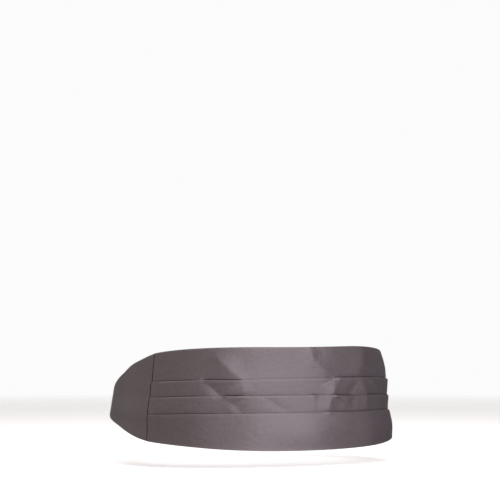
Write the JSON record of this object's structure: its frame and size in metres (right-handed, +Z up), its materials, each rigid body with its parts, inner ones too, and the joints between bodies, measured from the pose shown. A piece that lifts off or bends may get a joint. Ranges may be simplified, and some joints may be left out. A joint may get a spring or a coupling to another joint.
{
  "type": "cummerbund",
  "caption": "Satin waist sash with upturned front pleats, plain tapering end panels and elastic straps joined by a flat clasp at the back, in its worn oval shape.",
  "frame": {"origin": "the middle of the waist that the band goes round, at half the height of the front", "axes": "+X towards the wearer's left, -Y the way the pleated front faces, +Z up"},
  "size_m": [0.3714, 0.2836, 0.127],
  "materials": {
    "satin": "soft satin sheen, grey-mauve",
    "elastic": "matt ribbed elastic",
    "clasp_metal": "satin nickel plate"
  },
  "bodies": {
    "root": {"pleated_front": "satin", "end_panel_right": "satin", "end_panel_left": "satin", "strap_right": "elastic", "strap_left": "elastic", "clasp": "clasp_metal"}
  },
  "joints": []
}
